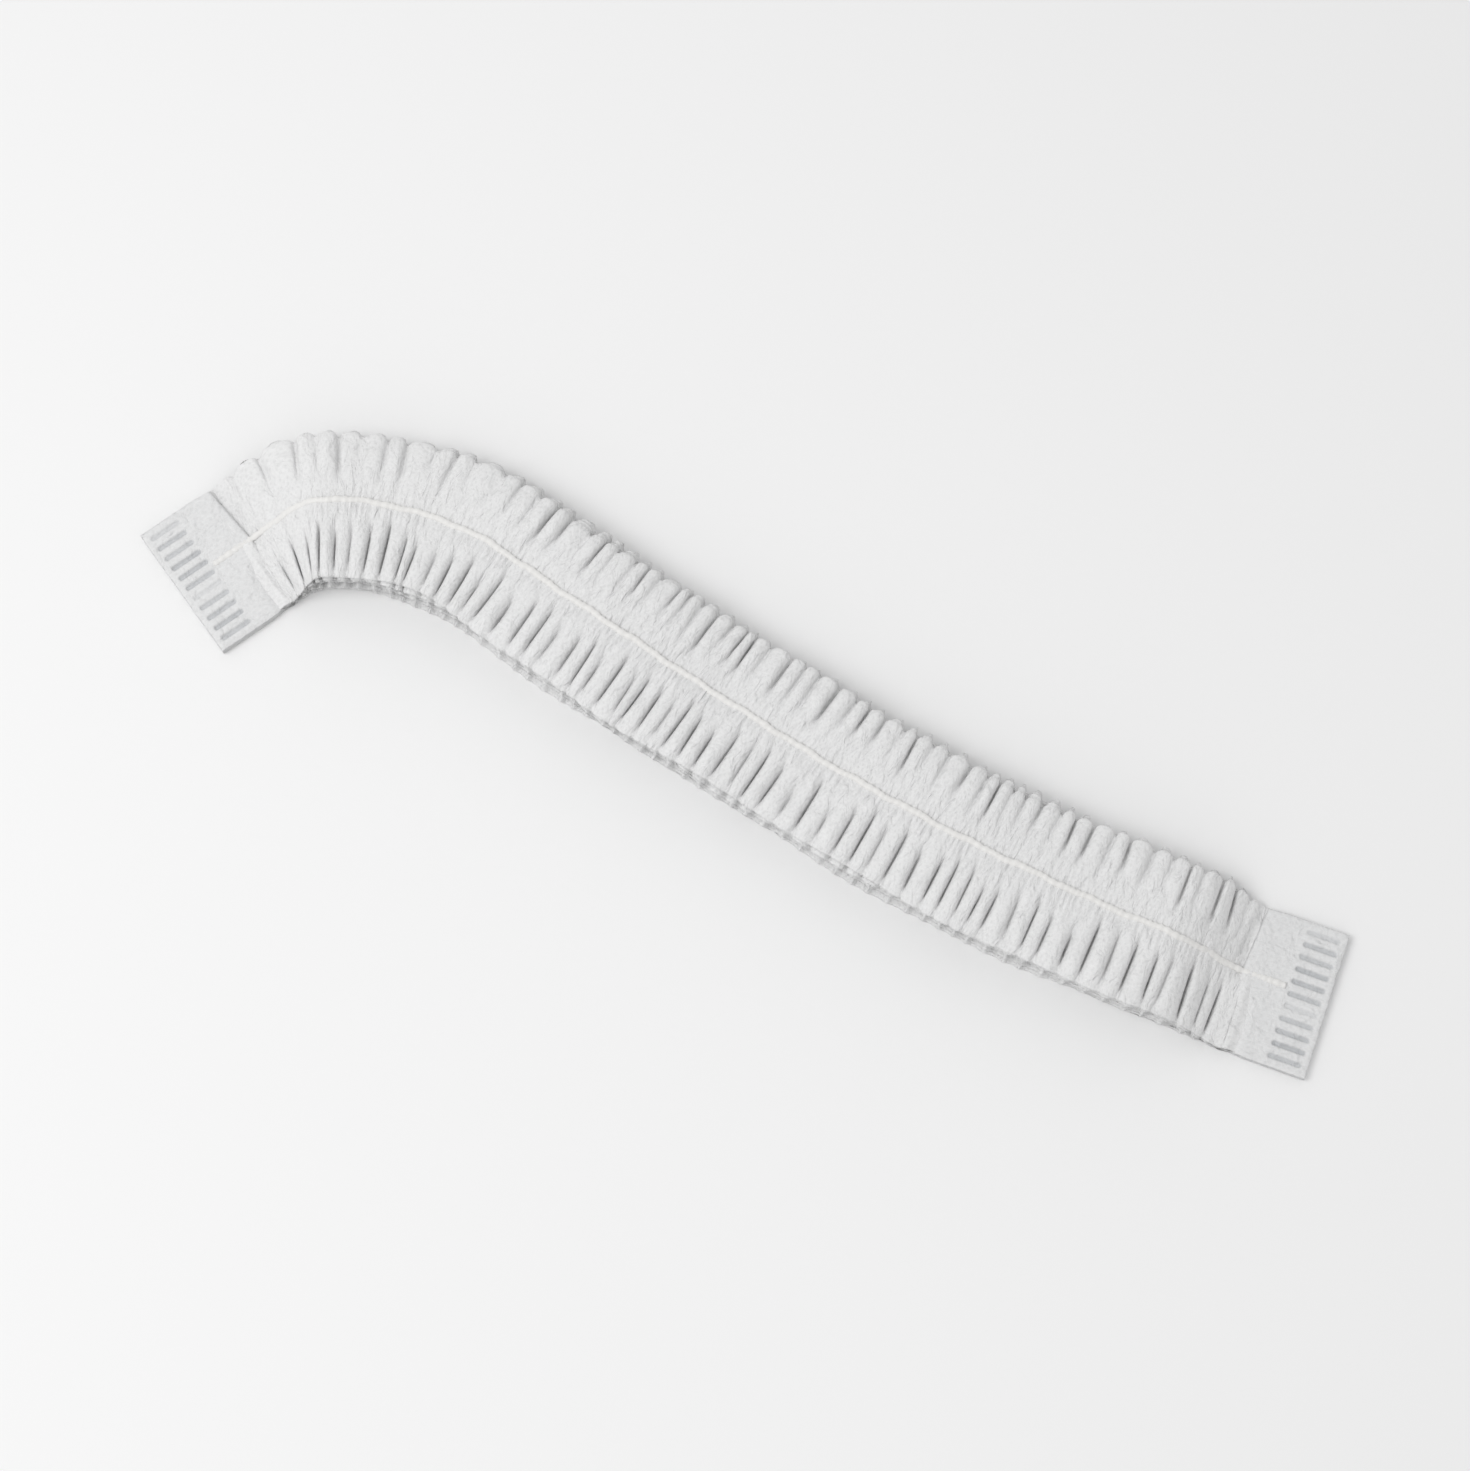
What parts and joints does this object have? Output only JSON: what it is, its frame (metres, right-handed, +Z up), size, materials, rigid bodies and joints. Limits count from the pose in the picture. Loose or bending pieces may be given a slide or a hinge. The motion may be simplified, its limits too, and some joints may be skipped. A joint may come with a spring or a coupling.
{
  "type": "disposable nurse cap",
  "caption": "Single-use non-woven cap folded into a gathered strip, with a welded tab at each end and an elastic thread along each face; lies flat.",
  "frame": {"origin": "centre of the bounding box at the face that the strip lies on", "axes": "+Z up from the surface that it lies on, +X along the strip's longest extent from the front tab towards the back tab, +Y towards the outside of its bend"},
  "size_m": [0.2308, 0.1074, 0.0131],
  "materials": {
    "nonwoven": "matt white spunbond polypropylene with fine bond points",
    "elastic": "satin white elastic thread"
  },
  "bodies": {
    "root": {"pleated_crown": "nonwoven", "front_elastic": "elastic", "back_elastic": "elastic"}
  },
  "joints": []
}
